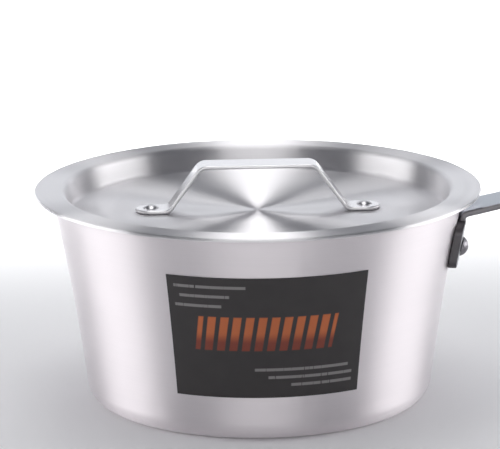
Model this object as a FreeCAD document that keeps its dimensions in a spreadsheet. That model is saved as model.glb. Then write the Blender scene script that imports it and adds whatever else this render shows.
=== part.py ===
"""A covered aluminium saucepan with a riveted plated-steel handle.

The pan stands on z = 0 with its axis on Z. The long handle points along +X and
the label faces -Y. Lengths are in millimetres and angles in degrees.
"""
import FreeCAD, Part
import math
import os

import Sketcher

SIZES = {
    # pan: a flared wall drawn from one sheet with the floor
    "pan_height": 114,
    "rim_radius": 110.7,
    "base_radius": 91.9,
    "wall_flare_radius": 1200,
    "wall_thickness": 3,
    "floor_thickness": 3.5,
    "base_corner_radius": 11.5,
    "rim_rounding": 0.8,
    # lid: a flat flange on the rim and a sunken plate inside it
    "flange_overhang": 9.3,
    "lid_thickness": 2,
    "lid_recess_depth": 12.8,
    "lid_clearance": 2.2,
    "plate_clearance": 1.36,
    "flange_bend_radius": 1.2,
    "recess_floor_radius": 2.5,
    "flange_edge_rounding": 0.9,
    # lid handle: a flat strap bent up between two riveted feet
    "strap_width": 17,
    "strap_thickness": 2,
    "grip_height": 26,
    "grip_half_length": 31,
    "foot_bend_reach": 48.5,
    "foot_end_reach": 66,
    "strap_bend_radius": 5,
    # long handle: a curved saddle on the wall and a bar that rises from it
    "saddle_width": 55,
    "saddle_height": 23.6,
    "saddle_drop": 28.1,
    "saddle_cover": 0.25,
    "saddle_corner_radius": 5,
    "handle_thickness": 3.4,
    "handle_width": 28,
    "waist_width": 24,
    "handle_reach": 190,
    "bar_inset": 0.2,
    "neck_straight": 0.5,
    "neck_bend_radius": 2,
    "blade_tilt": 12.3,
    "grip_tilt": 4,
    "blade_bend_reach": 85,
    "blade_bend_radius": 400,
    "handle_end_radius": 12,
    "handle_edge_rounding": 1.4,
    "hanging_hole_radius": 6,
    "hanging_hole_inset": 15,
    # rivets
    "rivet_spacing_angle": 8.5,
    "rivet_drop": 28.7,
    "rivet_shank_radius": 3,
    "rivet_head_radius": 5.35,
    "rivet_head_height": 3.6,
    "rivet_tail_radius": 5,
    "rivet_tail_height": 1.4,
    "lid_rivet_reach": 57.5,
    "lid_rivet_shank_radius": 2.2,
    "lid_rivet_head_radius": 4.2,
    "lid_rivet_head_height": 1.8,
    "lid_rivet_tail_radius": 4,
    "lid_rivet_tail_height": 1.2,
    # label: a thin skin on the front of the wall
    "label_half_angle": 29.4,
    "label_top_margin": 22,
    "label_bottom_margin": 25.3,
    "label_thickness": 0.2,
    # gaps between pieces that are fastened together
    "seat_gap": 0.04,
    "hole_clearance": 0.1,
}


def wall_face(height, offset="0"):
    """Radius of the wall's outside face at a height, moved outwards by an offset."""
    swing = f"(sizes.wall_flare_radius - ({offset}))^2 - (({height}) - worked.flare_centre_up)^2"
    return f"(worked.flare_centre_out - sqrt({swing}))"


# The wall is an arc whose centre lies far outside the pan, so it flares.
WORKED = {
    "wall_chord": "sqrt((sizes.rim_radius - sizes.base_radius)^2 + sizes.pan_height^2)",
    "flare_reach": "sqrt(sizes.wall_flare_radius^2 - worked.wall_chord^2 / 4)",
    "flare_centre_out": "(sizes.rim_radius + sizes.base_radius) / 2"
                        " + worked.flare_reach * sizes.pan_height / worked.wall_chord",
    "flare_centre_up": "sizes.pan_height / 2 - worked.flare_reach"
                       " * (sizes.rim_radius - sizes.base_radius) / worked.wall_chord",
    "flange_radius": "sizes.rim_radius + sizes.flange_overhang",
    "plate_top": "sizes.pan_height + sizes.lid_thickness - sizes.lid_recess_depth",
    "plate_under": "worked.plate_top - sizes.lid_thickness",
    # the recess drops into the mouth clear of the wall at the rim and at the plate
    "plug": wall_face("sizes.pan_height", "-sizes.wall_thickness") + " - sizes.lid_clearance",
    "plug_foot": wall_face("worked.plate_under", "-sizes.wall_thickness") + " - sizes.plate_clearance",
    "recess_taper": "atan((worked.plug - worked.plug_foot)"
                    " / (sizes.pan_height - worked.plate_under)) / 1 deg",
    "saddle_bottom": "sizes.pan_height - sizes.saddle_drop - sizes.saddle_height / 2",
    "saddle_top": "sizes.pan_height - sizes.saddle_drop + sizes.saddle_height / 2",
    "rivet_height": "sizes.pan_height - sizes.rivet_drop",
    "rivet_reach": wall_face("worked.rivet_height"),
    # the flat bar's foot is buried in the curved saddle, so the saddle covers its corners
    "saddle_thickness": "sizes.bar_inset + sizes.handle_thickness"
                        " + sizes.handle_width^2 / (8 * worked.rivet_reach) + sizes.saddle_cover",
    # the bar runs up the wall at its slope by the rivets and bends just above the saddle
    "wall_lean": "asin((worked.rivet_height - worked.flare_centre_up)"
                 " / sizes.wall_flare_radius) / 1 deg",
    "bar_foot": "worked.saddle_bottom + sizes.saddle_height / 4",
    "bar_reach": "worked.rivet_reach + sizes.seat_gap + sizes.bar_inset",
    "foot_reach": "worked.bar_reach"
                  " + (worked.bar_foot - worked.rivet_height) * tan(worked.wall_lean)",
    "bend_length": "(sizes.neck_bend_radius + sizes.handle_thickness)"
                   " * tan((90 - worked.wall_lean - sizes.blade_tilt) / 2)",
    "neck_height": "worked.saddle_top + sizes.neck_straight"
                   " + worked.bend_length * cos(worked.wall_lean)"
                   " + sizes.handle_thickness * sin(worked.wall_lean)",
    "neck_reach": "worked.bar_reach"
                  " + (worked.neck_height - worked.rivet_height) * tan(worked.wall_lean)",
    "trim_start": "sizes.rim_radius + 2 * sizes.handle_thickness",
    "blade_bend": "sizes.rim_radius + sizes.blade_bend_reach",
    "blade_bend_height": "worked.neck_height"
                         " + (worked.blade_bend - worked.neck_reach) * tan(sizes.blade_tilt)",
    "handle_end": "sizes.rim_radius + sizes.handle_reach",
}


def sheet_of_sizes(doc):
    """The sheet of driving sizes, one named cell each."""
    sheet = doc.addObject("Spreadsheet::Sheet", "sizes")
    for row, (name, value) in enumerate(SIZES.items(), start=1):
        sheet.set(f"A{row}", name)
        sheet.set(f"B{row}", str(value))
        sheet.setAlias(f"B{row}", name)
    doc.recompute()
    return sheet


def worked_sizes(doc):
    """Lengths that several pieces share and that follow from the driving sizes."""
    holder = doc.addObject("App::VarSet", "worked")
    for name, expression in WORKED.items():
        holder.addProperty("App::PropertyFloat", name)
        holder.setExpression(name, expression)
    doc.recompute()
    return holder


def value_of(owner, expression):
    """The number that an expression gives, in millimetres or degrees."""
    found = owner.evalExpression(expression)
    return float(getattr(found, "Value", found))


def new_body(doc, name):
    """An empty body whose label is the piece's name."""
    body = doc.addObject("PartDesign::Body", name)
    body.Label = name
    return body


def plane(body, role):
    """One of the body's own origin planes, as an attachment."""
    return next(item for item in body.Origin.OriginFeatures if item.Role == role)


def new_sketch(body, name, role):
    """A sketch on one of the body's origin planes."""
    sketch = body.newObject("Sketcher::SketchObject", name)
    sketch.AttachmentSupport = (plane(body, role), [""])
    sketch.MapMode = "FlatFace"
    return sketch


class Corner:
    """A corner of an outline: two expressions, its rounding, and the bow of the edge after it."""

    def __init__(self, x, y, rounding=None, bow=None):
        self.x = x
        self.y = y
        self.rounding = rounding
        self.bow = bow


def arc_between(start, end, radius):
    """A counter-clockwise arc through two points that bulges right of the way from start to end."""
    chord = end - start
    half = chord.Length / 2
    reach = math.sqrt(max(radius * radius - half * half, 0))
    left = FreeCAD.Vector(-chord.y, chord.x, 0).normalize()
    centre = (start + end) / 2 + left * reach
    first = math.atan2(start.y - centre.y, start.x - centre.x)
    last = math.atan2(end.y - centre.y, end.x - centre.x)
    if last < first:
        last += 2 * math.pi
    circle = Part.Circle(centre, FreeCAD.Vector(0, 0, 1), radius)
    return Part.ArcOfCircle(circle, first, last)


def add_edge(sketch, start, end, bow):
    """Add one edge; return its number and which of its ends come first and last."""
    if bow is None:
        return sketch.addGeometry(Part.LineSegment(start, end), False), 1, 2
    radius = value_of(sketch, bow.lstrip("-"))
    clockwise = bow.startswith("-")
    arc = arc_between(end, start, radius) if clockwise else arc_between(start, end, radius)
    number = sketch.addGeometry(arc, False)
    bind(sketch, Sketcher.Constraint("Radius", number, radius), bow.lstrip("-"))
    return (number, 2, 1) if clockwise else (number, 1, 2)


def bind(sketch, constraint, expression):
    """Add a dimension and drive it from the sheet."""
    index = sketch.addConstraint(constraint)
    sketch.setExpression(f"Constraints[{index}]", expression)


def pin(sketch, geometry, end, x, y):
    """Hold a point at two driven distances from the sketch's origin."""
    bind(sketch, Sketcher.Constraint("DistanceX", -1, 1, geometry, end, value_of(sketch, x)), x)
    bind(sketch, Sketcher.Constraint("DistanceY", -1, 1, geometry, end, value_of(sketch, y)), y)


def setback(before, point, after, rounding):
    """How far from a corner of two straight edges its rounding touches them."""
    if rounding is None:
        return 0
    return rounding * math.tan((point - before).getAngle(after - point) / 2)


def trimmed(point, neighbour, distance):
    """The point at a distance from a corner towards its neighbour, short of halfway there."""
    if distance == 0:
        return point
    step = neighbour - point
    share = min(distance / step.Length, 0.48)
    return point + step * share


def outline(sketch, corners):
    """Draw a closed outline of lines, curves and tangent roundings, all driven by the sheet."""
    points = [FreeCAD.Vector(value_of(sketch, c.x), value_of(sketch, c.y), 0) for c in corners]
    rounds = [None if c.rounding is None else value_of(sketch, c.rounding) for c in corners]
    count = len(corners)
    setbacks = [setback(points[index - 1], points[index], points[(index + 1) % count], rounds[index])
                for index in range(count)]
    edges = []
    for index, corner in enumerate(corners):
        after = (index + 1) % count
        start = trimmed(points[index], points[after], setbacks[index])
        end = trimmed(points[after], points[index], setbacks[after])
        edges.append(add_edge(sketch, start, end, corner.bow))
    for index, corner in enumerate(corners):
        before, _, before_end = edges[index - 1]
        following, following_start, _ = edges[index]
        if corner.rounding is None:
            sketch.addConstraint(Sketcher.Constraint("Coincident", before, before_end, following,
                                                     following_start))
            pin(sketch, before, before_end, corner.x, corner.y)
        else:
            add_rounding(sketch, edges[index - 1], edges[index], corner, points[index], rounds[index])


def add_rounding(sketch, before, following, corner, point, radius):
    """Join two edges by a tangent arc; their lines still meet at the pinned corner."""
    mark = sketch.addGeometry(Part.Point(point), True)
    pin(sketch, mark, 1, corner.x, corner.y)
    sketch.addConstraint(Sketcher.Constraint("PointOnObject", mark, 1, before[0]))
    sketch.addConstraint(Sketcher.Constraint("PointOnObject", mark, 1, following[0]))
    start = sketch.getPoint(before[0], before[2])
    end = sketch.getPoint(following[0], following[1])
    turns_left = (point - start).cross(end - point).z > 0
    spread = max(radius, (end - start).Length * 0.51)
    arc = arc_between(start, end, spread) if turns_left else arc_between(end, start, spread)
    number = sketch.addGeometry(arc, False)
    first, last = (1, 2) if turns_left else (2, 1)
    sketch.addConstraint(Sketcher.Constraint("Tangent", before[0], before[2], number, first))
    sketch.addConstraint(Sketcher.Constraint("Tangent", number, last, following[0], following[1]))
    bind(sketch, Sketcher.Constraint("Radius", number, radius), corner.rounding)


def moved_corner(x, y, angle_before, angle_after, offset, rounding):
    """The corner where two lines meet after both move to the right of their way by an offset."""
    middle = f"((({angle_before}) + ({angle_after})) / 2)"
    half_turn = f"((({angle_after}) - ({angle_before})) / 2)"
    across = f"({offset}) * sin({middle}) / cos({half_turn})"
    down = f"({offset}) * cos({middle}) / cos({half_turn})"
    return Corner(f"({x}) + {across}", f"({y}) - {down}", rounding)


def strip(sketch, stations, thickness):
    """Outline a bent strip from its upper edge.

    A station is (x, y, angle before, angle after, inside bend radius, bends upwards).
    """
    upper = []
    lower = []
    for x, y, before, after, bend, rises in stations:
        inside = bend
        outside = None if bend is None else f"{bend} + {thickness}"
        upper.append(Corner(x, y, inside if rises else outside))
        lower.append(moved_corner(x, y, before, after, thickness, outside if rises else inside))
    outline(sketch, upper + lower[::-1])


def revolve(body, sketch, name, angle="360"):
    """Turn a sketch about the body's Z axis, evenly to both sides of its plane."""
    turn = body.newObject("PartDesign::Revolution", name)
    turn.Profile = sketch
    turn.ReferenceAxis = (sketch, ["V_Axis"])
    turn.Midplane = True
    turn.setExpression("Angle", angle)
    return turn


def pad(body, sketch, name, width):
    """Thicken a sketch evenly to both sides of its plane."""
    block = body.newObject("PartDesign::Pad", name)
    block.Profile = sketch
    block.SideType = "Symmetric"
    block.setExpression("Length", width)
    return block


def pocket_through(body, sketch, name):
    """Cut a sketch's outline right through the body, both ways."""
    cut = body.newObject("PartDesign::Pocket", name)
    cut.Profile = sketch
    cut.Type = "ThroughAll"
    cut.SideType = "Symmetric"
    return cut


def drilled(doc, name, blank, holes):
    """The finished piece: a blank with round holes cut along the Z axes of their placements.

    A hole is (name, radius, depth, placement).
    """
    drills = []
    for hole, radius, depth, placement in holes:
        cylinder = doc.addObject("Part::Cylinder", hole)
        cylinder.setExpression("Radius", radius)
        cylinder.setExpression("Height", depth)
        cylinder.setExpression("Placement", placement)
        drills.append(cylinder)
    tools = doc.addObject("Part::MultiFuse", f"{name}_drills")
    tools.Shapes = drills
    piece = doc.addObject("Part::Cut", name)
    piece.Label = name
    piece.Base = blank
    piece.Tool = tools
    return piece


def round_edges(body, name, radius, wanted):
    """Round those edges of the body's solid that a test picks."""
    body.Document.recompute()
    base = body.Tip
    picked = [f"Edge{number}" for number, edge in enumerate(base.Shape.Edges, start=1) if wanted(edge)]
    if not picked:
        raise RuntimeError(f"{name} finds no edges to round")
    fillet = body.newObject("PartDesign::Fillet", name)
    fillet.Base = (base, picked)
    fillet.setExpression("Radius", radius)
    return fillet


def on_wall(side, outwards="0"):
    """Placement on the wall at a rivet, with Z along the wall's outward normal."""
    azimuth = f"({side} * sizes.rivet_spacing_angle)"
    reach = f"(worked.rivet_reach + ({outwards}) * cos(worked.wall_lean))"
    rise = f"(worked.rivet_height - ({outwards}) * sin(worked.wall_lean))"
    place = f"vector({reach} * cos({azimuth}); {reach} * sin({azimuth}); {rise})"
    return f"placement({place}; rotation({azimuth}; 90 + worked.wall_lean; 0))"


def pan_body(doc):
    """The pan: floor and flared wall in one piece, with holes for the handle's rivets."""
    body = new_body(doc, "pan_blank")
    sketch = new_sketch(body, "pan_section", "XZ_Plane")
    inside = "-sizes.wall_thickness"
    outline(sketch, [
        Corner("0", "0"),
        Corner("sizes.base_radius", "0", "sizes.base_corner_radius", "-sizes.wall_flare_radius"),
        Corner("sizes.rim_radius", "sizes.pan_height", "sizes.rim_rounding"),
        Corner(wall_face("sizes.pan_height", inside), "sizes.pan_height", "sizes.rim_rounding",
               "(sizes.wall_flare_radius + sizes.wall_thickness)"),
        Corner(wall_face("sizes.floor_thickness", inside), "sizes.floor_thickness",
               "sizes.base_corner_radius - sizes.wall_thickness"),
        Corner("0", "sizes.floor_thickness"),
    ])
    revolve(body, sketch, "pan_turning")
    return drilled(doc, "pan_body", body, [
        (f"pan_rivet_hole_{word}", "sizes.rivet_shank_radius + sizes.hole_clearance",
         "4 * sizes.wall_thickness", on_wall(side, "-2 * sizes.wall_thickness"))
        for side, word in ((-1, "front"), (1, "back"))])


def lid(doc):
    """The lid: a flat flange that lies on the rim and a plate sunk inside the pan."""
    body = new_body(doc, "lid_blank")
    sketch = new_sketch(body, "lid_section", "XZ_Plane")
    flange_top = "(sizes.pan_height + sizes.lid_thickness)"

    def recess_inside(height):
        return (f"worked.plug - (sizes.pan_height - {height}) * tan(worked.recess_taper)"
                " - sizes.lid_thickness / cos(worked.recess_taper)")

    outline(sketch, [
        Corner("0", "worked.plate_under"),
        Corner("worked.plug_foot", "worked.plate_under",
               "sizes.recess_floor_radius + sizes.lid_thickness"),
        Corner("worked.plug", "sizes.pan_height", "sizes.flange_bend_radius"),
        Corner("worked.flange_radius", "sizes.pan_height", "sizes.flange_edge_rounding"),
        Corner("worked.flange_radius", flange_top, "sizes.flange_edge_rounding"),
        Corner(recess_inside(flange_top), flange_top,
               "sizes.flange_bend_radius + sizes.lid_thickness"),
        Corner(recess_inside("worked.plate_top"), "worked.plate_top", "sizes.recess_floor_radius"),
        Corner("0", "worked.plate_top"),
    ])
    revolve(body, sketch, "lid_turning")
    return drilled(doc, "lid", body, lid_rivet_holes("lid"))


def lid_rivet_holes(name):
    """The holes through the lid's plate and the feet of its handle."""
    depth = "(4 * (sizes.lid_thickness + sizes.strap_thickness))"
    return [(f"{name}_rivet_hole_{word}", "sizes.lid_rivet_shank_radius + sizes.hole_clearance", depth,
             f"placement(vector({side} * sizes.lid_rivet_reach; 0; worked.plate_top - {depth} / 2);"
             " rotation(0; 0; 0))")
            for side, word in ((-1, "left"), (1, "right"))]


def lid_handle(doc):
    """The lid's handle: one strap with a raised grip and a round-ended foot at each side."""
    body = new_body(doc, "strap_blank")
    sketch = new_sketch(body, "strap_side", "XZ_Plane")
    foot = "worked.plate_top + sizes.strap_thickness"
    grip = "worked.plate_top + sizes.grip_height"
    slope = ("(atan((sizes.grip_height - sizes.strap_thickness)"
             " / (sizes.foot_bend_reach - sizes.grip_half_length)) / 1 deg)")
    bend = "sizes.strap_bend_radius"
    strip(sketch, [
        ("-sizes.foot_end_reach", foot, "0", "0", None, False),
        ("-sizes.foot_bend_reach", foot, "0", slope, bend, True),
        ("-sizes.grip_half_length", grip, slope, "0", bend, False),
        ("sizes.grip_half_length", grip, "0", f"-{slope}", bend, False),
        ("sizes.foot_bend_reach", foot, f"-{slope}", "0", bend, True),
        ("sizes.foot_end_reach", foot, "0", "0", None, False),
    ], "sizes.strap_thickness")
    pad(body, sketch, "strap", "sizes.strap_width")
    reach = value_of(body, "sizes.foot_end_reach")
    round_edges(body, "round_feet", "sizes.strap_width * 0.49",
                lambda edge: edge.BoundBox.ZLength > 0.1 and edge.BoundBox.XLength < 0.1
                and abs(edge.BoundBox.Center.x) > reach - 0.1)
    return drilled(doc, "lid_handle", body, lid_rivet_holes("strap"))


def handle(doc):
    """The long handle: a saddle curved to the wall, a neck bent out of it and a flat bar."""
    body = new_body(doc, "handle_blank")
    add_saddle(body)
    add_bar(body)
    trim_bar(body)
    start = value_of(body, "worked.trim_start")
    across = value_of(body, "2 * sizes.handle_thickness")
    round_edges(body, "bar_edges", "sizes.handle_edge_rounding",
                lambda edge: edge.BoundBox.XMin > start - 0.1 and edge.BoundBox.XLength > across)
    holes = [(f"saddle_rivet_hole_{word}", "sizes.rivet_shank_radius + sizes.hole_clearance",
              "3 * worked.saddle_thickness", on_wall(side, "-worked.saddle_thickness"))
             for side, word in ((-1, "front"), (1, "back"))]
    holes.append(("hanging_hole", "sizes.hanging_hole_radius", "8 * sizes.handle_thickness",
                  hanging_hole_placement()))
    return drilled(doc, "handle", body, holes)


def add_saddle(body):
    """The saddle: a plate with round corners, bent around the wall but straight up and down."""
    section = new_sketch(body, "saddle_section", "XZ_Plane")
    outer = "sizes.seat_gap + worked.saddle_thickness"
    outline(section, [
        Corner(wall_face("worked.saddle_bottom", "sizes.seat_gap"), "worked.saddle_bottom"),
        Corner(wall_face("worked.saddle_top", "sizes.seat_gap"), "worked.saddle_top"),
        Corner(wall_face("worked.saddle_top", outer), "worked.saddle_top"),
        Corner(wall_face("worked.saddle_bottom", outer), "worked.saddle_bottom"),
    ])
    revolve(body, section, "saddle",
            "sizes.saddle_width / worked.rivet_reach * 180 / pi")
    corner = value_of(body, "1.1 * worked.saddle_thickness")
    round_edges(body, "saddle_corners", "sizes.saddle_corner_radius",
                lambda edge: edge.Length < corner)


def add_bar(body):
    """The neck and bar: one strip whose lower end is buried in the saddle."""
    side = new_sketch(body, "bar_side", "XZ_Plane")
    neck_angle = "(90 - worked.wall_lean)"
    end_height = ("(worked.blade_bend_height"
                  " + (worked.handle_end - worked.blade_bend) * tan(sizes.grip_tilt))")
    strip(side, [
        ("worked.foot_reach", "worked.bar_foot", neck_angle, neck_angle, None, False),
        ("worked.neck_reach", "worked.neck_height", neck_angle, "sizes.blade_tilt",
         "sizes.neck_bend_radius", False),
        ("worked.blade_bend", "worked.blade_bend_height", "sizes.blade_tilt", "sizes.grip_tilt",
         "sizes.blade_bend_radius", False),
        ("worked.handle_end", end_height, "sizes.grip_tilt", "sizes.grip_tilt", None, False),
    ], "sizes.handle_thickness")
    pad(body, side, "bar", "sizes.handle_width")


def trim_bar(body):
    """Narrow the bar to a waist and round its far end, as seen from above."""
    plan = new_sketch(body, "bar_plan", "XY_Plane")
    half = "sizes.handle_width / 2"
    waist = "sizes.waist_width / 2"
    clear = "sizes.handle_width"
    outline(plan, [
        Corner("worked.trim_start", half),
        Corner("worked.blade_bend", waist, "sizes.blade_bend_radius"),
        Corner("worked.handle_end", half, "sizes.handle_end_radius"),
        Corner("worked.handle_end", f"-{half}", "sizes.handle_end_radius"),
        Corner("worked.blade_bend", f"-{waist}", "sizes.blade_bend_radius"),
        Corner("worked.trim_start", f"-{half}"),
        Corner("worked.trim_start", f"-{clear}"),
        Corner(f"worked.handle_end + {clear}", f"-{clear}"),
        Corner(f"worked.handle_end + {clear}", clear),
        Corner("worked.trim_start", clear),
    ])
    pocket_through(body, plan, "trim")


def hanging_hole_placement():
    """Placement of the hanging hole below the bar, with Z square to the bar."""
    reach = "(worked.handle_end - sizes.hanging_hole_inset)"
    height = f"(worked.blade_bend_height + ({reach} - worked.blade_bend) * tan(sizes.grip_tilt))"
    back = "(4 * sizes.handle_thickness)"
    place = (f"vector({reach} + {back} * sin(sizes.grip_tilt); 0;"
             f" {height} - {back} * cos(sizes.grip_tilt))")
    return f"placement({place}; rotation(0; -sizes.grip_tilt; 0))"


def rivet(doc, name, seat, tail, prefix):
    """A domed rivet along Z: head above the seat height, flat tail below the tail height."""
    body = new_body(doc, name)
    sketch = new_sketch(body, f"{name}_section", "XZ_Plane")
    head = f"sizes.{prefix}_head_radius"
    rise = f"sizes.{prefix}_head_height"
    shank = f"sizes.{prefix}_shank_radius"
    foot = f"sizes.{prefix}_tail_radius"
    foot_height = f"sizes.{prefix}_tail_height"
    outline(sketch, [
        Corner("0", f"{tail} - {foot_height}"),
        Corner(foot, f"{tail} - {foot_height}", f"{foot_height} / 2"),
        Corner(foot, tail),
        Corner(shank, tail),
        Corner(shank, seat),
        Corner(head, seat, bow=f"(({head}^2 + {rise}^2) / (2 * {rise}))"),
        Corner("0", f"{seat} + {rise}"),
    ])
    revolve(body, sketch, f"{name}_turning")
    return body


def handle_rivets(doc):
    """Two rivets through the wall and the saddle, side by side."""
    tail_reach = wall_face("worked.rivet_height", "-sizes.wall_thickness")
    hollow = f"sizes.rivet_tail_radius^2 / (2 * {tail_reach})"
    # the saddle is straight up and down, so its middle stands off the flared wall
    stand_off = "sizes.saddle_height^2 / (8 * sizes.wall_flare_radius)"
    made = []
    for side, word in ((-1, "front"), (1, "back")):
        body = rivet(doc, f"handle_rivet_{word}",
                     f"(worked.saddle_thickness + {stand_off} + 2 * sizes.seat_gap)",
                     f"(-sizes.wall_thickness - {hollow} - sizes.seat_gap)", "rivet")
        body.setExpression("Placement", on_wall(side))
        made.append(body)
    return made


def lid_rivets(doc):
    """One rivet through each foot of the lid's handle."""
    made = []
    for side, word in ((-1, "left"), (1, "right")):
        body = rivet(doc, f"lid_rivet_{word}", "(sizes.strap_thickness + sizes.seat_gap)",
                     "(-sizes.lid_thickness - sizes.seat_gap)", "lid_rivet")
        body.setExpression("Placement",
                           f"placement(vector({side} * sizes.lid_rivet_reach; 0; worked.plate_top);"
                           " rotation(0; 0; 0))")
        made.append(body)
    return made


def label(doc):
    """The label: a thin skin on the wall, turned to face -Y."""
    body = new_body(doc, "label")
    sketch = new_sketch(body, "label_section", "XZ_Plane")
    bottom = "sizes.label_bottom_margin"
    top = "sizes.pan_height - sizes.label_top_margin"
    back = "sizes.seat_gap"
    face = "sizes.seat_gap + sizes.label_thickness"
    outline(sketch, [
        Corner(wall_face(bottom, back), bottom, bow=f"-(sizes.wall_flare_radius - ({back}))"),
        Corner(wall_face(top, back), top),
        Corner(wall_face(top, face), top, bow=f"(sizes.wall_flare_radius - ({face}))"),
        Corner(wall_face(bottom, face), bottom),
    ])
    revolve(body, sketch, "label_skin", "2 * sizes.label_half_angle")
    body.setExpression("Placement", "placement(vector(0; 0; 0); rotation(-90; 0; 0))")
    return body


def check(doc, pieces):
    """Stop if any object failed or any piece has no sound solid."""
    for item in doc.Objects:
        if "Invalid" in item.State or "Error" in item.State:
            raise RuntimeError(f"{item.Label} failed: {item.State}")
    for piece in pieces:
        if piece.Shape.isNull() or not piece.Shape.isValid():
            raise RuntimeError(f"{piece.Label} has no valid shape")
        if len(piece.Shape.Solids) != 1:
            raise RuntimeError(f"{piece.Label} is {len(piece.Shape.Solids)} solids")


def main():
    doc = FreeCAD.newDocument("saucepan")
    sheet_of_sizes(doc)
    worked_sizes(doc)
    pieces = [pan_body(doc), handle(doc)] + handle_rivets(doc) + [label(doc), lid(doc)]
    pieces += [lid_handle(doc)] + lid_rivets(doc)
    doc.recompute()
    check(doc, pieces)
    os.makedirs("parts", exist_ok=True)
    for piece in pieces:
        piece.Shape.exportStep(f"parts/{piece.Label}.step")
        print(f"{piece.Label}: {piece.Shape.Volume:.0f} mm3")


main()
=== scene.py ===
# %% [markdown]
# # A covered aluminium saucepan
#
# The object is a flared saucepan drawn from one sheet of aluminium, with a plated
# steel handle riveted to its wall and a pressed lid sunk into its mouth. Almost all
# of it was turned on a lathe or bent from flat strip, and each piece below is made
# the same way: an outline that is turned, or a flat pattern that is bent.

# %% Load the frame
import math

import bmesh
import bpy
from mathutils import Matrix, Vector


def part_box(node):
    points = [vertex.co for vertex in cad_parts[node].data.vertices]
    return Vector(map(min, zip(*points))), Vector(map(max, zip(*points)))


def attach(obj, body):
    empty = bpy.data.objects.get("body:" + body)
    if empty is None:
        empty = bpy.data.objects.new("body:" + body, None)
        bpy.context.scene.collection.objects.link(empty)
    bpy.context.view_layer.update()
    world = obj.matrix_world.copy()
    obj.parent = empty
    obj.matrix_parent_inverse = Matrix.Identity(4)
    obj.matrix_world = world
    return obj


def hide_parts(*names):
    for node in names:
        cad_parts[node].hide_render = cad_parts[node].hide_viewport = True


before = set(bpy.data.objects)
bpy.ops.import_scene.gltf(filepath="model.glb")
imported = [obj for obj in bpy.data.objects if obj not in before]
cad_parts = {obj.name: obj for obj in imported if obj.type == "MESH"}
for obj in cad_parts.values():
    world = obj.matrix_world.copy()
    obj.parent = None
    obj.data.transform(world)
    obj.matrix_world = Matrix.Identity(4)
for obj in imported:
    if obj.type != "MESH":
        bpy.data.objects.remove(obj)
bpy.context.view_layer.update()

print("nodes:", sorted(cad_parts))

# %% [markdown]
# ## The camera
#
# A long lens far away flattens a round pan, so its rim is a narrow ellipse and its
# sides hardly converge. The camera stands 16 lid radii away, a little above the rim
# and a little to the left of the label. It is aimed below the middle of the lid.

# %% Camera
MM = 0.001
lid_low, lid_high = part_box("lid")
LID_RADIUS = (lid_high.x - lid_low.x) / 2
lid_centre = Vector((0, 0, lid_high.z))

LENS = 257
CAMERA_RADII = 16
AIM_LEFT = 4.3 * MM
AIM_DOWN = 20.65 * MM
camera_azimuth = math.radians(-2.8)
camera_elevation = math.radians(12.98)
camera_roll = math.radians(-0.54)
camera_distance = CAMERA_RADII * LID_RADIUS

backwards = Vector((math.sin(camera_azimuth) * math.cos(camera_elevation),
                    -math.cos(camera_azimuth) * math.cos(camera_elevation),
                    math.sin(camera_elevation)))
to_the_right = Vector((0, 0, 1)).cross(backwards).normalized()
upwards = backwards.cross(to_the_right)
aim = lid_centre - AIM_LEFT * to_the_right - AIM_DOWN * upwards
eye = lid_centre + backwards * camera_distance

camera = bpy.data.objects.new("camera", bpy.data.cameras.new("camera"))
bpy.context.scene.collection.objects.link(camera)
bpy.context.scene.camera = camera
camera.data.lens = LENS
camera.data.sensor_width = 36
camera.data.clip_start = 0.1
camera.data.clip_end = 50
camera.location = eye
turn = (aim - eye).to_track_quat("-Z", "Y").to_matrix() @ Matrix.Rotation(camera_roll, 3, "Z")
camera.rotation_euler = turn.to_euler()
print("camera stands", round(camera_distance, 2), "m from the lid")

# %% [markdown]
# ## A small language for nodes
#
# Materials and Geometry Nodes are both graphs. `Flow` wraps one socket, so that
# `1 - mask * 0.3` adds the Math nodes it needs. `Graph.add` makes every other node, and
# `parts_of` and `vector_of` take a vector apart and put one together.

# %% Node helpers
class Flow:
    """A socket that can be used in arithmetic."""

    def __init__(self, graph, socket):
        self.graph = graph
        self.socket = socket

    def math(self, operation, *others):
        values = dict(enumerate([self, *others]))
        return self.graph.add("ShaderNodeMath", {"operation": operation}, values)

    def __add__(self, other):
        return self.math("ADD", other)

    def __radd__(self, other):
        return self.math("ADD", other)

    def __sub__(self, other):
        return self.math("SUBTRACT", other)

    def __rsub__(self, other):
        return self.graph.add("ShaderNodeMath", {"operation": "SUBTRACT"}, {0: other, 1: self})

    def __mul__(self, other):
        return self.math("MULTIPLY", other)

    def __rmul__(self, other):
        return self.math("MULTIPLY", other)

    def __truediv__(self, other):
        return self.math("DIVIDE", other)

    def above(self, limit, soft):
        """1 where the value is over a limit and 0 where it is under it, with a soft edge."""
        return self.graph.add("ShaderNodeMapRange", {"interpolation_type": "SMOOTHSTEP"},
                              {"Value": self, "From Min": limit - soft, "From Max": limit + soft})

    def between(self, low, high, soft):
        """1 where the value lies between two limits, with soft edges."""
        return self.above(low, soft) * (1 - self.above(high, soft))


class Graph:
    """A node tree with one way to add nodes."""

    def __init__(self, tree):
        self.tree = tree

    def add(self, kind, settings=None, inputs=None, output=0):
        node = self.tree.nodes.new(kind)
        for name, value in (settings or {}).items():
            setattr(node, name, value)
        for key, value in (inputs or {}).items():
            self.feed(self.find(node.inputs, key), value)
        return Flow(self, self.find(node.outputs, output))

    @staticmethod
    def find(sockets, key):
        if isinstance(key, int):
            return sockets[key]
        by_identifier = [socket for socket in sockets if socket.identifier == key]
        return by_identifier[0] if by_identifier else sockets[key]

    def feed(self, socket, value):
        if isinstance(value, Flow):
            self.tree.links.new(value.socket, socket)
        else:
            socket.default_value = value


def parts_of(graph, vector):
    """The X, Y and Z of a vector."""
    split = graph.add("ShaderNodeSeparateXYZ", None, {0: vector}).socket.node
    return [Flow(graph, socket) for socket in split.outputs]


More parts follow.
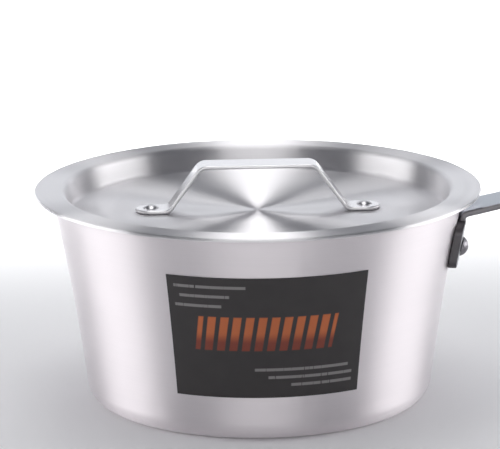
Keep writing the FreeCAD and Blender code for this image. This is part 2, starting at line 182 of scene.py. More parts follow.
def vector_of(graph, x=0.0, y=0.0, z=0.0):
    """A vector from its X, Y and Z."""
    return graph.add("ShaderNodeCombineXYZ", None, {0: x, 1: y, 2: z})

# %% [markdown]
# ## The light
#
# Metal shows what is around it. Two low, wide softboxes beside the pan make its broad
# bright bands, and being low they leave the lid's diagonals dark. One softbox overhead
# and a panel behind light the plate and the flange. Two washes with a narrow spread
# light the floor without showing in the lid, a soft fill stands in front, and a dim
# room between them all leaves the darks.

# %% Floor, room and lamps
def area_lamp(name, place, target, size, brightness, tint=(1, 1, 1)):
    """A softbox whose face has a given brightness, where white paper in full light is 1."""
    lamp = bpy.data.lights.new(name, "AREA")
    lamp.shape = "RECTANGLE"
    lamp.size, lamp.size_y = size
    lamp.energy = brightness * math.pi * size[0] * size[1]
    lamp.color = tint
    holder = bpy.data.objects.new(name, lamp)
    holder.location = place
    holder.rotation_euler = (Vector(target) - Vector(place)).to_track_quat("-Z", "Y").to_euler()
    holder.visible_camera = False
    bpy.context.scene.collection.objects.link(holder)
    return holder


def around(azimuth, distance, height):
    """A place at an azimuth from the camera's side, in degrees towards the right."""
    angle = camera_azimuth + math.radians(azimuth)
    return (math.sin(angle) * distance, -math.cos(angle) * distance, height)


PAN_MIDDLE = (0, 0, 0.08)
COOL = (0.95, 0.97, 1.0)
SIDE_BOX = (1.0, 0.6)
SIDE_BRIGHTNESS = 4.15
SIDE_DISTANCE, SIDE_HEIGHT = 1.2, 0.28
WASH_HEIGHT = 1.2
WASH_SPREAD = math.radians(55)
ROOM_COLOUR = (0.10, 0.105, 0.12, 1)
FLOOR_REACH = 12.0


def side_softbox(name, azimuth):
    """One of the two low softboxes beside the pan."""
    area_lamp(name, around(azimuth, SIDE_DISTANCE, SIDE_HEIGHT), PAN_MIDDLE, SIDE_BOX,
              SIDE_BRIGHTNESS)


def floor_wash(name, azimuth, distance, size, brightness):
    """A softbox with a narrow spread, straight above a place on the floor."""
    wash = area_lamp(name, around(azimuth, distance, WASH_HEIGHT),
                     around(azimuth, distance, 0.0), size, brightness)
    wash.data.spread = WASH_SPREAD


side_softbox("softbox_left", -90)
side_softbox("softbox_right", 98)
area_lamp("softbox_above", (0, 0.1, 1.3), PAN_MIDDLE, (0.50, 1.4), 2.3)
area_lamp("panel_behind", around(180, 2.4, 0.9), PAN_MIDDLE, (3.4, 1.8), 0.88, COOL)
floor_wash("wash_behind", 180, 1.3, (2.6, 1.3), 6.0)
floor_wash("wash_in_front", 0, 1.1, (3.2, 0.9), 1.2)
area_lamp("fill_in_front", around(0, 2.6, 0.75), PAN_MIDDLE, (2.4, 1.3), 1.95)

world = bpy.data.worlds.new("room")
bpy.context.scene.world = world
world.use_nodes = True
world.node_tree.nodes["Background"].inputs["Color"].default_value = ROOM_COLOUR
bpy.context.scene.view_settings.view_transform = "Standard"

floor_mesh = bpy.data.meshes.new("floor")
floor_corners = [(x * FLOOR_REACH, y * FLOOR_REACH, 0)
                 for x, y in ((-1, -1), (1, -1), (1, 1), (-1, 1))]
floor_mesh.from_pydata(floor_corners, [], [(0, 1, 2, 3)])
floor = bpy.data.objects.new("floor", floor_mesh)
bpy.context.scene.collection.objects.link(floor)
print("lamps:", [lamp.name for lamp in bpy.data.lights])

# %% [markdown]
# ## Finishes
#
# Spun and turned aluminium carries fine rings around the axis. Under such rings a
# highlight is drawn out across them, which the shader's anisotropy gives. The rings
# themselves are a noise that changes quickly along the outline and slowly around it.

# %% Material helpers
def new_material(name):
    """An empty material, its graph and its Principled shader."""
    material = bpy.data.materials.new(name)
    material.use_nodes = True
    tree = material.node_tree
    tree.nodes.clear()
    shader = tree.nodes.new("ShaderNodeBsdfPrincipled")
    out = tree.nodes.new("ShaderNodeOutputMaterial")
    tree.links.new(shader.outputs[0], out.inputs[0])
    return material, Graph(tree), shader


def place_on_piece(graph):
    """The Object coordinates and their three parts."""
    place = graph.add("ShaderNodeTexCoord", output="Object")
    return place, *parts_of(graph, place)


def noise(graph, vector, scale, detail=2.0, roughness=0.5):
    """A plain noise value of a vector."""
    return graph.add("ShaderNodeTexNoise", None,
                     {"Vector": vector, "Scale": scale, "Detail": detail, "Roughness": roughness})


def blend_colours(graph, factor, first, second):
    """A colour between two others."""
    return graph.add("ShaderNodeMix", {"data_type": "RGBA"},
                     {"Factor_Float": factor, "A_Color": first, "B_Color": second}, "Result_Color")


def shaded(colour, share):
    """An opaque colour, made darker or brighter by a share."""
    return tuple(min(1, share * channel) for channel in colour) + (1,)


def feed_bump(graph, shader, depth, height):
    """Let a height of a given depth in metres tilt the shader's normal."""
    bump = graph.add("ShaderNodeBump", None,
                     {"Strength": 1.0, "Distance": depth, "Height": height})
    graph.feed(shader.inputs["Normal"], bump)


RING_WIDTH = 0.3 * MM
BROAD_RINGS = 9
RINGS_ACROSS = 0.25


def turned_metal(name, colour, roughness, anisotropy, ring_depth):
    """Aluminium with fine rings around the Z axis."""
    material, graph, shader = new_material(name)
    place, x, y, z = place_on_piece(graph)
    radius = (x * x + y * y).math("SQRT")
    along = radius + z
    fine_place = vector_of(graph, x * 2.0, y * 2.0, along / RING_WIDTH)
    fine = noise(graph, fine_place, 1.0, 3.0, 0.6)
    broad_place = vector_of(graph, x * 6.0, y * 6.0, along / (BROAD_RINGS * RING_WIDTH))
    broad = noise(graph, broad_place, 1.0, 2.0)
    clouds = noise(graph, place, 14.0, 3.0)
    tone = fine * 0.5 + broad * 0.3 + clouds * 0.2
    graph.feed(shader.inputs["Base Color"],
               blend_colours(graph, tone, shaded(colour, 0.90), shaded(colour, 1.04)))
    graph.feed(shader.inputs["Roughness"],
               roughness * 0.8 + (broad * 0.6 + fine * 0.4) * (roughness * 0.4))
    shader.inputs["Metallic"].default_value = 1
    shader.inputs["Anisotropic"].default_value = anisotropy
    shader.inputs["Anisotropic Rotation"].default_value = RINGS_ACROSS
    feed_bump(graph, shader, ring_depth, fine)
    return material


def strip_metal(name, colour, roughness, scratch_depth, edge_shade_colour=None):
    """Metal strip polished along its length, with soft smudges.

    Where a piece has an "edge" attribute, its sheared edges are duller, and darker in colour
    as painted shade, standing in for the dark room that they reflect.
    """
    material, graph, shader = new_material(name)
    place, x, y, z = place_on_piece(graph)
    grain = noise(graph, vector_of(graph, x * 25.0, y * 1800.0, z * 500.0), 1.0, 2.0)
    smudge = noise(graph, place, 60.0, 4.0)
    tone = grain * 0.5 + smudge * 0.5
    face_colour = blend_colours(graph, tone, shaded(colour, 0.90), shaded(colour, 1))
    edge = graph.add("ShaderNodeAttribute", {"attribute_name": "edge"}, output="Fac")
    # Painted shade: towards their rims the edges take a darker colour in place of the dark room
    # they reflect.
    painted_shade_edge_mask = edge.above(0.45, 0.25)
    graph.feed(shader.inputs["Base Color"],
               blend_colours(graph, painted_shade_edge_mask, face_colour, shaded(edge_shade_colour or colour, 1)))
    graph.feed(shader.inputs["Roughness"],
               roughness * 0.75 + tone * (roughness * 0.5) + painted_shade_edge_mask * 0.2)
    shader.inputs["Metallic"].default_value = 1
    feed_bump(graph, shader, scratch_depth, grain)
    return material


pan_metal = turned_metal("pan_aluminium", (0.81, 0.768, 0.79), 0.50, 0.80, 0.006 * MM)
lid_metal = turned_metal("lid_aluminium", (0.90, 0.885, 0.90), 0.46, 1.0, 0.003 * MM)
# The edge colours below are painted shade: darker edges standing in for the dark room they reflect.
strap_metal = strip_metal("strap_aluminium", (0.93, 0.915, 0.93), 0.26, 0.004 * MM,
                          edge_shade_colour=(0.88, 0.87, 0.88))
handle_metal = strip_metal("handle_steel", (0.43, 0.46, 0.51), 0.32, 0.003 * MM,
                           edge_shade_colour=(0.25, 0.24, 0.25))
# The saddle is the bar's steel painted darker: painted shade for the shadow under the bar.
saddle_metal_painted_shade = strip_metal("saddle_steel_painted_shade", (0.30, 0.31, 0.34), 0.30, 0.003 * MM,
                           edge_shade_colour=(0.12, 0.115, 0.12))
rivet_metal = strip_metal("rivet_aluminium", (0.70, 0.69, 0.71), 0.30, 0.01 * MM)
# The handle's rivets take the rivet aluminium painted dark: painted shade beside the handle's
# saddle.
rivet_metal_painted_shade = strip_metal("rivet_aluminium_painted_shade", (0.25, 0.24, 0.26), 0.36, 0.01 * MM)

paper, paper_graph, paper_shader = new_material("floor_paper")
paper_tone = noise(paper_graph, place_on_piece(paper_graph)[0], 3.0, 2.0)
paper_graph.feed(paper_shader.inputs["Base Color"],
                 blend_colours(paper_graph, paper_tone,
                               (0.93, 0.93, 0.94, 1), (0.91, 0.91, 0.92, 1)))
paper_shader.inputs["Roughness"].default_value = 0.85
floor_mesh.materials.append(paper)
print("finishes:", [material.name for material in bpy.data.materials])

# %% [markdown]
# ## Turning on the lathe
#
# The pan, the lid and the rivets are all bodies of revolution. A closed outline from
# axis to axis is drawn once, and one Geometry Nodes tree turns it: a grid has one row
# for each outline point and one column for each step around, every grid point is set
# to its outline point swung by its angle, and the seam and the poles are merged.

# %% Outlines with rounded corners
ARC_STEP = math.radians(7)
EDGE_SUPPORT = 0.25 * MM
SHORTEST_SUPPORTED = 6 * EDGE_SUPPORT


def rounded(corners):
    """Points of an outline of (radius, height, rounding) corners, with arcs in place of them.

    A point close to each end of a straight run keeps it flat under smooth shading.
    """
    points = []
    for index, (x, y, rounding) in enumerate(corners):
        here = Vector((x, y))
        if rounding <= 0 or index in (0, len(corners) - 1):
            points.append(here)
            continue
        before = (Vector(corners[index - 1][:2]) - here).normalized()
        after = (Vector(corners[index + 1][:2]) - here).normalized()
        half = before.angle(after) / 2
        setback = rounding / math.tan(half)
        centre = here + (before + after).normalized() * (rounding / math.sin(half))
        start = here + before * setback - centre
        end = here + after * setback - centre
        swing = start.angle_signed(end)
        count = max(2, math.ceil(abs(swing) / ARC_STEP))
        for step in range(count + 1):
            points.append(centre + Matrix.Rotation(-swing * step / count, 2) @ start)
    supported = []
    for point, after in zip(points, points[1:]):
        supported.append(point)
        run = after - point
        if run.length > SHORTEST_SUPPORTED:
            supported.append(point + run.normalized() * EDGE_SUPPORT)
            supported.append(after - run.normalized() * EDGE_SUPPORT)
    supported.append(points[-1])
    return supported

# %% The lathe as a Geometry Nodes tree
SEAM_MERGE = 0.001 * MM


def new_geometry_tree(name, inputs):
    """A Geometry Nodes tree with geometry in and out and the named inputs given."""
    tree = bpy.data.node_groups.new(name, "GeometryNodeTree")
    tree.interface.new_socket("Geometry", in_out="INPUT", socket_type="NodeSocketGeometry")
    for label, kind in inputs:
        tree.interface.new_socket(label, in_out="INPUT", socket_type=kind)
    tree.interface.new_socket("Geometry", in_out="OUTPUT", socket_type="NodeSocketGeometry")
    graph = Graph(tree)
    entry = tree.nodes.new("NodeGroupInput")
    sockets = {socket.name: Flow(graph, socket) for socket in entry.outputs if socket.name}
    return graph, sockets


def finish_geometry_tree(graph, geometry, material):
    """Realize what is left of instances, set the material and leave the tree."""
    real = graph.add("GeometryNodeRealizeInstances", None, {0: geometry})
    smooth = graph.add("GeometryNodeSetShadeSmooth", None, {"Geometry": real})
    painted = graph.add("GeometryNodeSetMaterial", None, {"Geometry": smooth, "Material": material})
    out = graph.tree.nodes.new("NodeGroupOutput")
    graph.tree.links.new(painted.socket, out.inputs[0])


def turn_on_axis(graph, outline, steps):
    """The nodes that turn an outline's points about the Z axis."""
    count = graph.add("GeometryNodeAttributeDomainSize", {"component": "MESH"}, {0: outline})
    grid = graph.add("GeometryNodeMeshGrid", None,
                     {"Size X": 1.0, "Size Y": 1.0, "Vertices X": count, "Vertices Y": steps + 1})
    position = graph.add("GeometryNodeInputPosition")
    grid_x, grid_y, _ = parts_of(graph, position)
    row = ((grid_x + 0.5) * (count - 1)).math("ROUND")
    angle = (grid_y + 0.5) * math.tau
    drawn = graph.add("GeometryNodeSampleIndex",
                      {"data_type": "FLOAT_VECTOR", "domain": "POINT"},
                      {"Geometry": outline, "Value": position, "Index": row})
    radius, _, height = parts_of(graph, drawn)
    swung = vector_of(graph, radius * angle.math("COSINE"), radius * angle.math("SINE"), height)
    placed = graph.add("GeometryNodeSetPosition", None, {"Geometry": grid, "Position": swung})
    return graph.add("GeometryNodeMergeByDistance", None,
                     {"Geometry": placed, "Distance": SEAM_MERGE})


lathe_graph, lathe_in = new_geometry_tree("lathe", [("Steps around", "NodeSocketInt"),
                                                    ("Finish", "NodeSocketMaterial")])
turned = turn_on_axis(lathe_graph, lathe_in["Geometry"], lathe_in["Steps around"])
finish_geometry_tree(lathe_graph, turned, lathe_in["Finish"])
lathe = lathe_graph.tree


def outline_object(name, points):
    """A chain of points in the XZ plane, as the object that a tree works on."""
    mesh = bpy.data.meshes.new(name)
    links = [(index, index + 1) for index in range(len(points) - 1)]
    mesh.from_pydata([(point.x, 0, point.y) for point in points], links, [])
    holder = bpy.data.objects.new(name, mesh)
    bpy.context.scene.collection.objects.link(holder)
    return holder


def made_by(tree, source, name, **values):
    """Run a tree on an object and return the result as a plain mesh object."""
    modifier = source.modifiers.new(tree.name, "NODES")
    modifier.node_group = tree
    for item in tree.interface.items_tree:
        if item.in_out == "INPUT" and item.name in values:
            modifier[item.identifier] = values[item.name]
    depsgraph = bpy.context.evaluated_depsgraph_get()
    mesh = bpy.data.meshes.new_from_object(source.evaluated_get(depsgraph), depsgraph=depsgraph)
    mesh.name = name
    piece = bpy.data.objects.new(name, mesh)
    bpy.context.scene.collection.objects.link(piece)
    bpy.data.objects.remove(source)
    report(piece)
    return piece


def report(piece):
    """Print what was made; a closed piece facing outwards has a positive volume."""
    check = bmesh.new()
    check.from_mesh(piece.data)
    open_edges = sum(1 for edge in check.edges if not edge.is_manifold)
    volume = check.calc_volume(signed=True)
    check.free()
    print(f"{piece.name}: {len(piece.data.polygons)} faces, {volume * 1e6:.1f} cm3,",
          f"{open_edges} open edges")

# %% [markdown]
# ## The pan
#
# The wall is not a plain cone: it flares like the bell of a trumpet, so both of its
# faces are arcs about one centre far outside the pan. The floor is flat, its corner
# is generous and the rim is cut square with its edges eased.

# %% Pan
PAN_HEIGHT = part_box("pan_body")[1].z
RIM_RADIUS = 110.7 * MM
BASE_RADIUS = 91.9 * MM
FLARE = 1200 * MM
WALL = 3.0 * MM
FLOOR = 3.5 * MM
BASE_CORNER = 11.5 * MM
RIM_ROUNDING = 0.8 * MM
STEPS_AROUND = 320

chord = Vector((RIM_RADIUS - BASE_RADIUS, PAN_HEIGHT))
flare_reach = math.sqrt(FLARE ** 2 - chord.length_squared / 4)
flare_centre = Vector(((RIM_RADIUS + BASE_RADIUS) / 2, PAN_HEIGHT / 2)) \
    + flare_reach * Vector((chord.y, -chord.x)).normalized()


def wall_face(height, outwards=0.0):
    """Radius of the wall's outside face at a height, moved outwards by a distance."""
    return flare_centre.x - math.sqrt((FLARE - outwards) ** 2 - (height - flare_centre.y) ** 2)


WALL_PARTS = 7
wall_heights = [PAN_HEIGHT * part / WALL_PARTS for part in range(1, WALL_PARTS)]
pan_corners = [(0, 0, 0), (BASE_RADIUS, 0, BASE_CORNER)]
pan_corners += [(wall_face(height), height, 0) for height in wall_heights]
pan_corners += [(RIM_RADIUS, PAN_HEIGHT, RIM_ROUNDING)]
pan_corners += [(wall_face(PAN_HEIGHT, -WALL), PAN_HEIGHT, RIM_ROUNDING)]
pan_corners += [(wall_face(height, -WALL), height, 0) for height in reversed(wall_heights)]
pan_corners += [(wall_face(FLOOR, -WALL), FLOOR, BASE_CORNER - WALL), (0, FLOOR, 0)]
pan = made_by(lathe, outline_object("pan_outline", rounded(pan_corners)), "saucepan_body",
              **{"Steps around": STEPS_AROUND, "Finish": pan_metal})
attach(pan, "pan")
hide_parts("pan_body")

# %% [markdown]
# ## The lid
#
# The lid is one pressed sheet: a flat flange lies on the rim, a steep wall drops into
# the mouth and a flat plate closes it. Sunk like this it cannot slide off, and its
# handle hardly stands above the rim, so pans stack. The same lathe turns it.

# %% Lid
SHEET = 2.0 * MM
RECESS_DEPTH = 12.8 * MM
LID_CLEARANCE = 2.2 * MM
PLATE_CLEARANCE = 1.36 * MM
FLANGE_BEND = 1.2 * MM
RECESS_BEND = 2.5 * MM
FLANGE_ROUNDING = 0.9 * MM

flange_top = PAN_HEIGHT + SHEET
plate_top = flange_top - RECESS_DEPTH
plate_under = plate_top - SHEET
plug = wall_face(PAN_HEIGHT, -WALL) - LID_CLEARANCE
plug_foot = wall_face(plate_under, -WALL) - PLATE_CLEARANCE
recess_taper = math.atan((plug - plug_foot) / (PAN_HEIGHT - plate_under))


def recess_wall(height, inwards=0.0):
    """Radius of the recess wall's outside at a height, moved inwards by a distance."""
    return plug - (PAN_HEIGHT - height) * math.tan(recess_taper) - inwards / math.cos(recess_taper)


lid_corners = [
    (0, plate_under, 0),
    (recess_wall(plate_under), plate_under, RECESS_BEND + SHEET),
    (plug, PAN_HEIGHT, FLANGE_BEND),
    (LID_RADIUS, PAN_HEIGHT, FLANGE_ROUNDING),
    (LID_RADIUS, flange_top, FLANGE_ROUNDING),
    (recess_wall(flange_top, SHEET), flange_top, FLANGE_BEND + SHEET),
    (recess_wall(plate_top, SHEET), plate_top, RECESS_BEND),
    (0, plate_top, 0),
]
lid = made_by(lathe, outline_object("lid_outline", rounded(lid_corners)), "pressed_lid",
              **{"Steps around": STEPS_AROUND, "Finish": lid_metal})
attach(lid, "lid")
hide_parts("lid")

# %% [markdown]
# ## Plates that are cut flat and bent
#
# Both handles start as flat blanks. A blank is drawn as an outline seen from above,
# with any hole, and rounding its edges means stacking a few copies of the outline that
# grow towards the middle of the sheet and shrink below it. The flat blank is then cut
# across wherever it will bend, and a rule moves every point to its bent place.

# %% Flat blanks
EDGE_STEPS = 4
SHARPEST_CORNER = 0.5
CUT_MERGE = 0.0005 * MM


def offset_ring(ring, inwards):
    """A closed outline with every point moved to its left by a distance."""
    moved = []
    for index, point in enumerate(ring):
        before = (point - ring[index - 1]).normalized()
        after = (ring[(index + 1) % len(ring)] - point).normalized()
        along = (before + after).normalized()
        stretch = max(SHARPEST_CORNER, along.dot(after))
        moved.append(point + Vector((-along.y, along.x)) * inwards / stretch)
    return moved


def edge_rows(thickness, rounding):
    """How far in and how far down each copy of the outline goes, from top to bottom."""
    rows = []
    for step in range(EDGE_STEPS + 1):
        angle = math.pi / 2 * step / EDGE_STEPS
        rows.append((rounding * (1 - math.sin(angle)), rounding * (1 - math.cos(angle))))
    lower = [(inwards, thickness - down) for inwards, down in reversed(rows)]
    return rows + lower


def flat_plate(rings, thickness, rounding, cuts):
    """A plate below height 0 with round edges, cut across at the given places along X.

    The first ring runs counter-clockwise and is the outline; the others are holes
    and run clockwise.
    """
    plate = bmesh.new()
    edge = plate.verts.layers.float.new("edge")
    top_edges, bottom_edges = [], []
    for ring in rings:
        rows = []
        for inwards, down in edge_rows(thickness, rounding):
            row = [plate.verts.new((p.x, p.y, -down)) for p in offset_ring(ring, inwards)]
            for vert in row:
                vert[edge] = 1 - inwards / rounding
            rows.append(row)
        for upper, lower in zip(rows, rows[1:]):
            for index in range(len(ring)):
                after = (index + 1) % len(ring)
                plate.faces.new((upper[index], lower[index], lower[after], upper[after]))
        for edges, row in ((top_edges, rows[0]), (bottom_edges, rows[-1])):
            edges += [plate.edges.get((row[index - 1], row[index])) for index in range(len(row))]
    for edges in (top_edges, bottom_edges):
        bmesh.ops.triangle_fill(plate, use_beauty=True, edges=edges)
    for place in cuts:
        everything = list(plate.verts) + list(plate.edges) + list(plate.faces)
        bmesh.ops.bisect_plane(plate, geom=everything, dist=CUT_MERGE,
                               plane_co=(place, 0, 0), plane_no=(1, 0, 0))
    bmesh.ops.recalc_face_normals(plate, faces=plate.faces)
    return plate


def bent(plate, name, rule, material):
    """Move every point of a flat plate by a rule and make it an object."""
    for vert in plate.verts:
        vert.co = rule(*vert.co)
    bmesh.ops.recalc_face_normals(plate, faces=plate.faces)
    mesh = bpy.data.meshes.new(name)
    plate.to_mesh(mesh)
    plate.free()
    mesh.materials.append(material)
    piece = bpy.data.objects.new(name, mesh)
    bpy.context.scene.collection.objects.link(piece)
    keep_flats_flat(mesh)
    report(piece)
    return piece


def keep_flats_flat(mesh):
    """Smooth normals in which each face counts by its area, so broad flats stay flat."""
    normals = [Vector() for _ in mesh.vertices]
    for face in mesh.polygons:
        face.use_smooth = True
        for vertex in face.vertices:
            normals[vertex] += face.normal * face.area
    mesh.normals_split_custom_set_from_vertices([normal.normalized() for normal in normals])

# %% A path of straight runs and bends
BEND_STEP = math.radians(4)


class BentPath:
    """A line in the XZ plane through corners of (x, z, radius), measured along its length."""

    def __init__(self, corners):
        points = [Vector(corner[:2]) for corner in corners]
        self.runs = []
        self.length = 0.0
        here = points[0]
        for index in range(1, len(points) - 1):
            before = (points[index] - points[index - 1]).normalized()
            after = (points[index + 1] - points[index]).normalized()
            turn = math.atan2(before.x * after.y - before.y * after.x, before.dot(after))
            setback = corners[index][2] * math.tan(abs(turn) / 2)
            self.add(here, before, (points[index] - before * setback - here).length, 0.0)
            start = points[index] - before * setback
            self.add(start, before, corners[index][2] * abs(turn), turn)
            here = points[index] + after * setback
        self.add(here, (points[-1] - here).normalized(), (points[-1] - here).length, 0.0)

    def add(self, start, direction, length, turn):
        """Add a straight run, or an arc when it turns."""
        self.runs.append((self.length, length, start, direction, turn))
        self.length += length

    def at(self, place):
        """The point at a length along the path and the normal on its left."""
        begin, length, start, direction, turn = next(
            (run for run in self.runs if place <= run[0] + run[1]), self.runs[-1])
        gone = place - begin
        if turn == 0 or length == 0:
            return start + direction * gone, Vector((-direction.y, direction.x))
        radius = length / turn
        angle = gone / radius
        left = Vector((-direction.y, direction.x))
        centre = start + left * radius
        swung = Vector((left.x * math.cos(angle) - left.y * math.sin(angle),
                        left.x * math.sin(angle) + left.y * math.cos(angle)))
        return centre - swung * radius, swung

    def cuts(self):
        """Places along the path where a flat blank has to be cut to bend smoothly."""
        places = []
        for begin, length, _, _, turn in self.runs:
            if turn:
                steps = max(2, math.ceil(abs(turn) / BEND_STEP))
                places += [begin + length * step / steps for step in range(steps + 1)]
        return places

    def bend(self, along, across, height):
        """Where a point of the flat blank goes."""
        point, normal = self.at(along)
        lifted = point + normal * height
        return Vector((lifted.x, across, lifted.y))

# %% [markdown]
# ## The lid's handle
#
# A strap of aluminium, 17 mm wide, is bent up between two feet with round ends. Its
# bends are short arcs, and its long edges are rounded over so that they catch a thin
# line of light.

# %% Lid handle
STRAP_WIDTH = 17 * MM
STRAP = 2 * MM
GRIP_HEIGHT = 26 * MM
GRIP_HALF = 31 * MM
FOOT_BEND = 48.5 * MM
FOOT_END = 66 * MM
STRAP_BEND = 5 * MM
STRAP_EDGE = 0.92 * MM

foot_top = plate_top + STRAP
grip_top = plate_top + GRIP_HEIGHT
strap_path = BentPath([
    (-FOOT_END, foot_top, 0), (-FOOT_BEND, foot_top, STRAP_BEND),
    (-GRIP_HALF, grip_top, STRAP_BEND + STRAP), (GRIP_HALF, grip_top, STRAP_BEND + STRAP),
    (FOOT_BEND, foot_top, STRAP_BEND), (FOOT_END, foot_top, 0)])


END_STEPS = 12
SAME_POINT = 0.01 * MM


def round_end(centre, direction, half_width, radius):
    """A quarter circle from a long side to the tip of an end."""
    arc = []
    for step in range(END_STEPS + 1):
        angle = math.pi / 2 * step / END_STEPS
        arc.append(Vector((centre + direction * radius * math.sin(angle),
                           half_width - radius + radius * math.cos(angle))))
    return arc


def long_outline(length, half_width, end_rounding, places):
    """A counter-clockwise outline from 0 to a length, with round corners at chosen ends.

    half_width is a rule of the place along it; end_rounding gives both ends' radii.
    """
    first, last = end_rounding
    start = [Vector((0, half_width(0)))]
    if first:
        start = round_end(first, -1, half_width(first), first)[::-1]
    end = [Vector((length, half_width(length)))]
    if last:
        end = round_end(length - last, 1, half_width(length - last), last)
    body = [Vector((place, half_width(place))) for place in places if first < place < length - last]
    top = start + body + end
    bottom = [Vector((point.x, -point.y)) for point in top]
    clean = []
    for point in bottom + top[::-1]:
        if not clean or (point - clean[-1]).length > SAME_POINT:
            clean.append(point)
    if (clean[0] - clean[-1]).length < SAME_POINT:
        clean.pop()
    return clean


foot_rounding = 0.49 * STRAP_WIDTH
strap_outline = long_outline(strap_path.length, lambda place: STRAP_WIDTH / 2,
                             (foot_rounding, foot_rounding), strap_path.cuts())
strap_blank = flat_plate([strap_outline], STRAP, STRAP_EDGE, strap_path.cuts())
strap = bent(strap_blank, "lid_strap", strap_path.bend, strap_metal)
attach(strap, "lid")
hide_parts("lid_handle")

# %% [markdown]
# ## The long handle
#
# The saddle is a plate with round corners that is wrapped around the wall. The bar
# starts inside it, bends out over the saddle's top edge and runs on past a slight
# waist to a round end with a hole to hang it by.

# %% Saddle
SADDLE_WIDTH = 55 * MM
SADDLE_HEIGHT = 23.6 * MM
SADDLE_DROP = 28.1 * MM
SADDLE_CORNER = 5 * MM
SEAT_GAP = 0.04 * MM
BAR = 3.4 * MM
BAR_WIDTH = 28 * MM
BAR_INSET = 0.2 * MM
SADDLE_COVER = 0.25 * MM
RIVET_DROP = 28.7 * MM
SADDLE_EDGE = 0.7 * MM
CORNER_STEPS = 8
SADDLE_STRIPS = 16

rivet_height = PAN_HEIGHT - RIVET_DROP
rivet_reach = wall_face(rivet_height)
saddle_thickness = BAR_INSET + BAR + BAR_WIDTH ** 2 / (8 * rivet_reach) + SADDLE_COVER
saddle_bottom = PAN_HEIGHT - SADDLE_DROP - SADDLE_HEIGHT / 2
saddle_top = saddle_bottom + SADDLE_HEIGHT


def rounded_rectangle(width, height, corner):
    """A counter-clockwise outline about the origin."""
    ring = []
    for quarter, (side, end) in enumerate(((1, 1), (-1, 1), (-1, -1), (1, -1))):
        centre = Vector((side * (width / 2 - corner), end * (height / 2 - corner)))
        for step in range(CORNER_STEPS + 1):
            angle = math.pi / 2 * (quarter + step / CORNER_STEPS)
            ring.append(centre + Vector((math.cos(angle), math.sin(angle))) * corner)
    return ring


def around_wall(along, up, height):
    """Wrap a flat saddle around the wall."""
    z = (saddle_bottom + saddle_top) / 2 + up
    share = (z - saddle_bottom) / SADDLE_HEIGHT
    inner = (wall_face(saddle_bottom, SEAT_GAP) * (1 - share)
             + wall_face(saddle_top, SEAT_GAP) * share)
    angle = -along / rivet_reach
    radius = inner + saddle_thickness + height
    return Vector((radius * math.cos(angle), -radius * math.sin(angle), z))


saddle_cuts = [SADDLE_WIDTH * (strip / SADDLE_STRIPS - 0.5) for strip in range(1, SADDLE_STRIPS)]
saddle_blank = flat_plate([rounded_rectangle(SADDLE_WIDTH, SADDLE_HEIGHT, SADDLE_CORNER)],
                          saddle_thickness, SADDLE_EDGE, saddle_cuts)
saddle = bent(saddle_blank, "handle_saddle", around_wall, saddle_metal_painted_shade)

# %% Bar
BAR_BEND = 2 * MM
NECK_STRAIGHT = 0.5 * MM
BLADE_TILT = math.radians(12.3)
GRIP_TILT = math.radians(4)
BLADE_BEND_REACH = 85 * MM
BLADE_BEND = 400 * MM
HANDLE_REACH = 190 * MM
WAIST = 24 * MM
END_ROUNDING = 12 * MM
BAR_EDGE = 1.3 * MM
HOLE_RADIUS = 6 * MM
HOLE_INSET = 15 * MM
HOLE_STEPS = 48
BAR_STATIONS = 90
WAIST_SOFTNESS = 0.04

wall_lean = math.asin((rivet_height - flare_centre.y) / FLARE)
bar_reach = rivet_reach + SEAT_GAP + BAR_INSET
foot_height = saddle_bottom + SADDLE_HEIGHT / 4
bend_length = (BAR_BEND + BAR) * math.tan((math.pi / 2 - wall_lean - BLADE_TILT) / 2)
neck_height = (saddle_top + NECK_STRAIGHT + bend_length * math.cos(wall_lean)
               + BAR * math.sin(wall_lean))
neck_reach = bar_reach + (neck_height - rivet_height) * math.tan(wall_lean)
foot_reach = bar_reach + (foot_height - rivet_height) * math.tan(wall_lean)
blade_bend = RIM_RADIUS + BLADE_BEND_REACH
blade_bend_height = neck_height + (blade_bend - neck_reach) * math.tan(BLADE_TILT)
handle_end = RIM_RADIUS + HANDLE_REACH - BAR * math.sin(GRIP_TILT)
end_height = blade_bend_height + (handle_end - blade_bend) * math.tan(GRIP_TILT)
bar_path = BentPath([
    (foot_reach, foot_height, 0), (neck_reach, neck_height, BAR_BEND + BAR),
    (blade_bend, blade_bend_height, BLADE_BEND + BAR), (handle_end, end_height, 0)])
trim_start = RIM_RADIUS + 2 * BAR


def bar_half_width(place):
    """Half the bar's width: straight to the trim, in to the waist and out to the end."""
    x = bar_path.at(place)[0].x
    if x < trim_start:
        return BAR_WIDTH / 2
    span = blade_bend - trim_start if x < blade_bend else handle_end - blade_bend
    share = min(1.0, abs(x - blade_bend) / span)
    soft = math.sqrt(share ** 2 + WAIST_SOFTNESS ** 2) - WAIST_SOFTNESS * (1 - share)
    return WAIST / 2 + (BAR_WIDTH - WAIST) / 2 * min(1.0, soft)


stations = [bar_path.length * step / BAR_STATIONS for step in range(1, BAR_STATIONS)]
bar_places = sorted(bar_path.cuts() + stations)
bar_outline = long_outline(bar_path.length, bar_half_width, (0, END_ROUNDING), bar_places)
hole_place = bar_path.length - HOLE_INSET / math.cos(GRIP_TILT)
hole_angles = [-math.tau * step / HOLE_STEPS for step in range(HOLE_STEPS)]
hole_ring = [Vector((hole_place + HOLE_RADIUS * math.cos(angle), HOLE_RADIUS * math.sin(angle)))
             for angle in hole_angles]
bar_blank = flat_plate([bar_outline, hole_ring], BAR, BAR_EDGE, bar_path.cuts())
bar = bent(bar_blank, "handle_bar", bar_path.bend, handle_metal)
for piece in (saddle, bar):
    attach(piece, "pan")
    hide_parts("handle")

# %% [markdown]
# ## Rivets
#
# Four rivets hold the handles. They are turned on the same lathe tree, inside a
# second tree that sets copies on a ring: two on the wall beside the neck, and two
# opposite each other on the lid.

